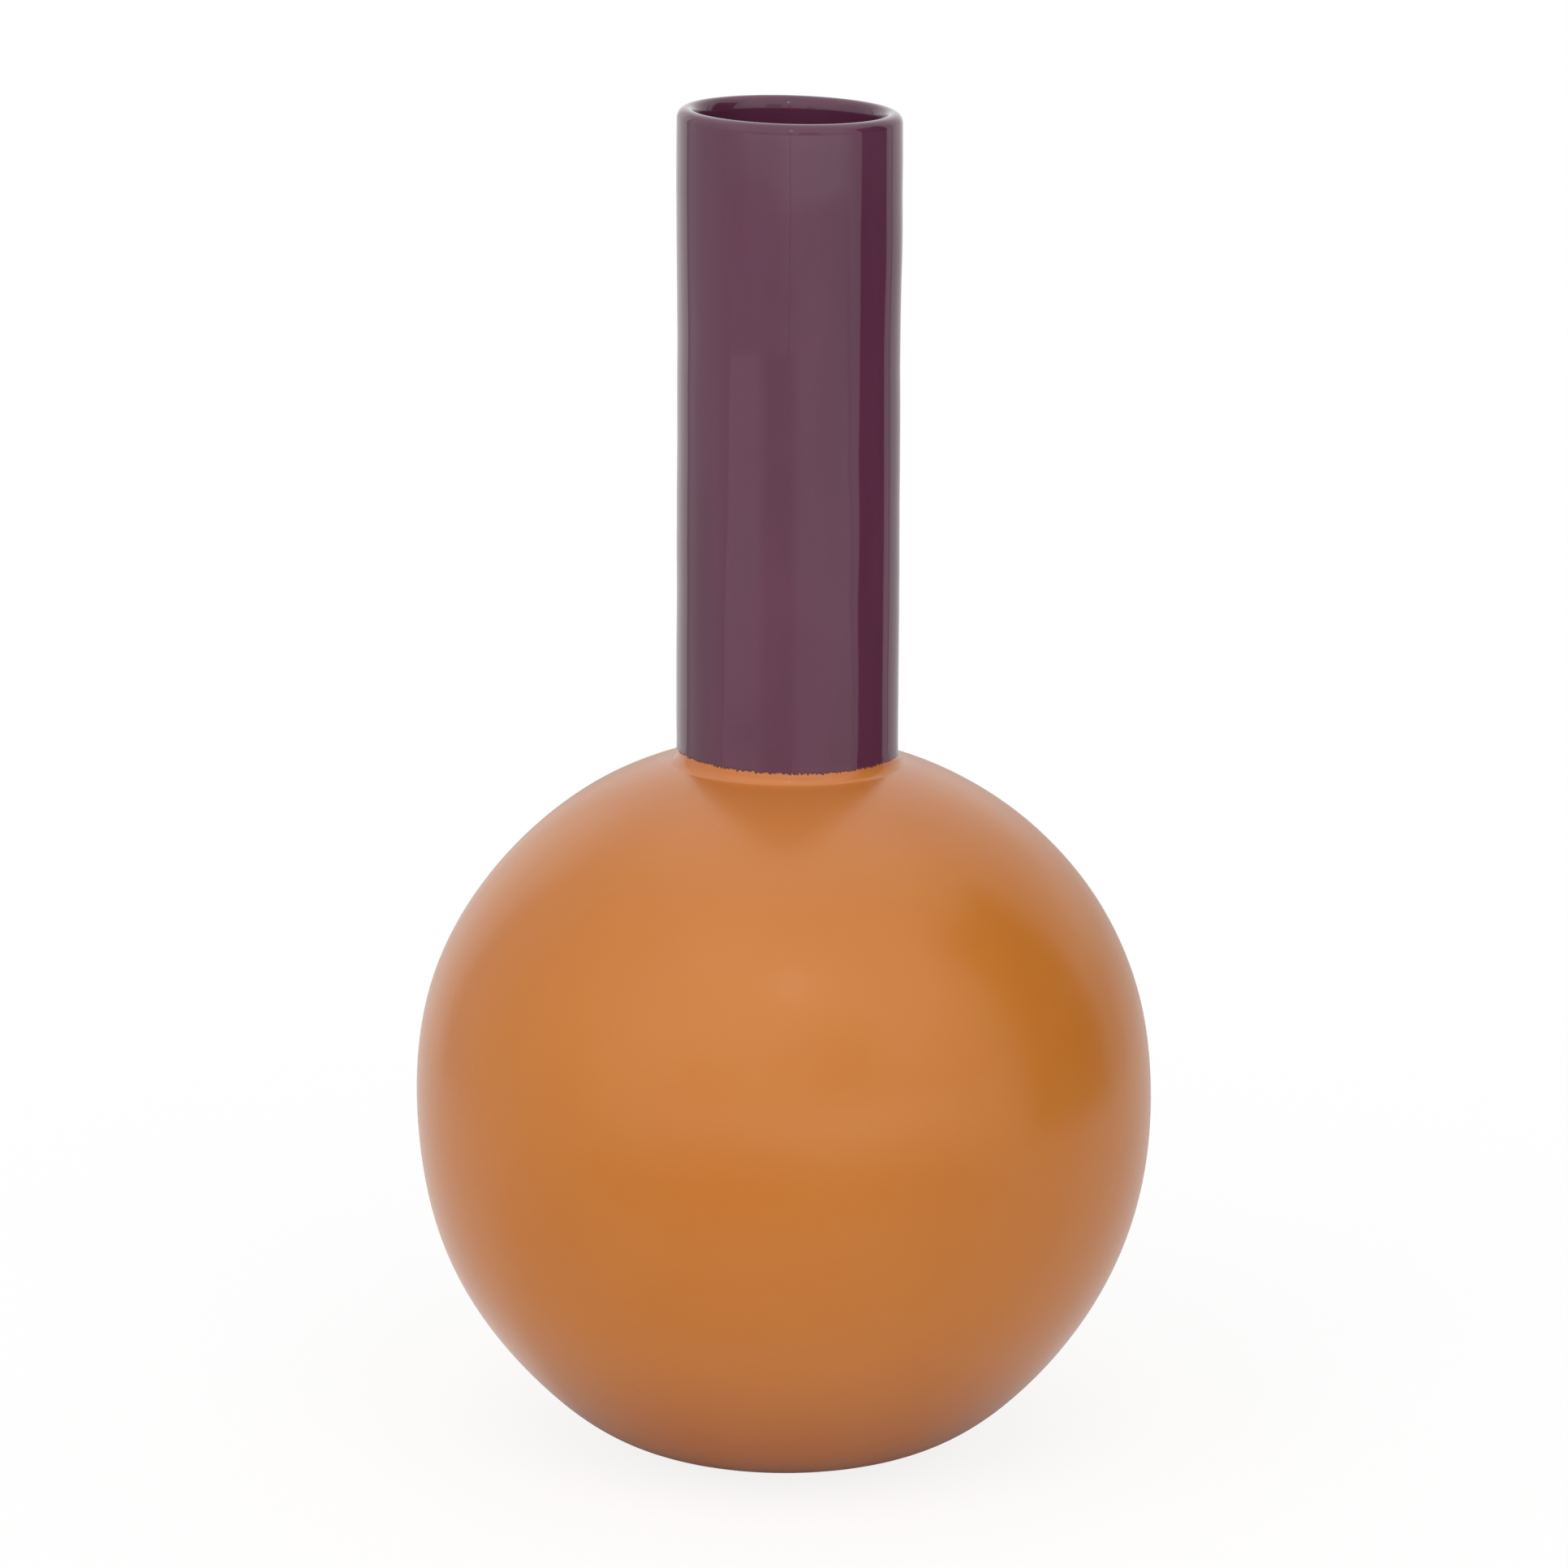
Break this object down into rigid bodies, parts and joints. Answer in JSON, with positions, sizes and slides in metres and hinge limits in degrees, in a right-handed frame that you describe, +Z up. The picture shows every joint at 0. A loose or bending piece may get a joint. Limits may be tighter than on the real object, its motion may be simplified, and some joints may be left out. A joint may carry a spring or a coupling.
{
  "type": "vase",
  "caption": "Ceramic flower vase: a glazed ball with a straight cylindrical neck, a half-round lip and a turned foot ring.",
  "frame": {"origin": "on the axis of the vase, in the plane that its foot stands on", "axes": "+Z up the axis of the vase, out of its mouth; X and Y level, and every direction round the axis is alike"},
  "size_m": [0.15, 0.15, 0.275],
  "materials": {
    "stoneware": "bare fired clay, matt and slightly gritty",
    "slip": "fired joining slip, wiped smooth",
    "satin_orange_glaze": "satin orange glaze with soft reflections",
    "gloss_aubergine_glaze": "high-gloss aubergine glaze",
    "liner_glaze": "poured gloss liner, the neck's colour"
  },
  "bodies": {
    "root": {"ball_body": "stoneware", "neck_tube": "stoneware", "joining_slip": "slip", "ball_glaze": "satin_orange_glaze", "neck_glaze": "gloss_aubergine_glaze", "liner_glaze": "liner_glaze"}
  },
  "joints": []
}
